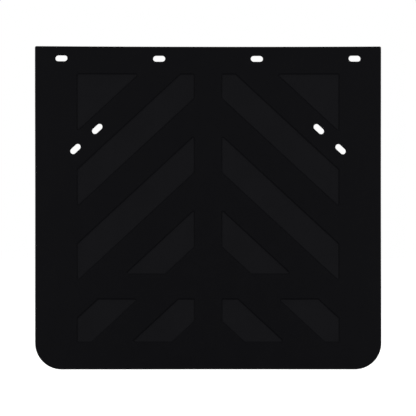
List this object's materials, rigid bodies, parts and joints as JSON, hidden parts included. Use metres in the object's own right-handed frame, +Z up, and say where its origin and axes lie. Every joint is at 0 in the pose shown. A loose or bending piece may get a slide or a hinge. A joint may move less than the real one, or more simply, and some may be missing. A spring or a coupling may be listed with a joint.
{
  "type": "mud flap",
  "caption": "Rectangular rubber mud flap with raised chevron ribs, bolted through a row of top slots and braced through slanted side slots.",
  "frame": {"origin": "on the flat back face, at the midpoint of the row of top slots", "axes": "+X across the flap, +Y out of the flat back face towards what it is bolted to, +Z up; the ribbed face looks towards -Y"},
  "size_m": [0.6, 0.01, 0.56],
  "materials": {
    "rubber": "moulded matt black rubber, smooth satin ribs and a finer, duller texture in the pockets"
  },
  "bodies": {
    "clamp": {"clamp_band": "rubber"},
    "shoulder": {"shoulder_band": "rubber"},
    "brace_slot": {"brace_slot_band": "rubber"},
    "upper_chevron": {"upper_chevron_band": "rubber"},
    "middle_chevron": {"middle_chevron_band": "rubber"},
    "lower_chevron": {"lower_chevron_band": "rubber"},
    "cross_rib": {"cross_rib_band": "rubber"},
    "hem": {"hem_band": "rubber"}
  },
  "joints": [
    {"name": "shoulder_flex", "type": "hinge", "parent": "clamp", "child": "shoulder", "pos_m": [0, -0.005, -0.039], "axis": [-1, 0, 0], "range_deg": [-6, 12], "stiffness_Nm_per_rad": 2.8},
    {"name": "brace_slot_flex", "type": "hinge", "parent": "shoulder", "child": "brace_slot", "pos_m": [0, -0.005, -0.103], "axis": [-1, 0, 0], "range_deg": [-6, 12], "stiffness_Nm_per_rad": 2.8},
    {"name": "upper_chevron_flex", "type": "hinge", "parent": "brace_slot", "child": "upper_chevron", "pos_m": [0, -0.005, -0.175], "axis": [-1, 0, 0], "range_deg": [-6, 12], "stiffness_Nm_per_rad": 2.8},
    {"name": "middle_chevron_flex", "type": "hinge", "parent": "upper_chevron", "child": "middle_chevron", "pos_m": [0, -0.005, -0.239], "axis": [-1, 0, 0], "range_deg": [-6, 12], "stiffness_Nm_per_rad": 2.8},
    {"name": "lower_chevron_flex", "type": "hinge", "parent": "middle_chevron", "child": "lower_chevron", "pos_m": [0, -0.005, -0.303], "axis": [-1, 0, 0], "range_deg": [-6, 12], "stiffness_Nm_per_rad": 2.8},
    {"name": "cross_rib_flex", "type": "hinge", "parent": "lower_chevron", "child": "cross_rib", "pos_m": [0, -0.005, -0.366], "axis": [-1, 0, 0], "range_deg": [-6, 12], "stiffness_Nm_per_rad": 2.8},
    {"name": "hem_flex", "type": "hinge", "parent": "cross_rib", "child": "hem", "pos_m": [0, -0.005, -0.43], "axis": [-1, 0, 0], "range_deg": [-6, 12], "stiffness_Nm_per_rad": 2.8}
  ]
}
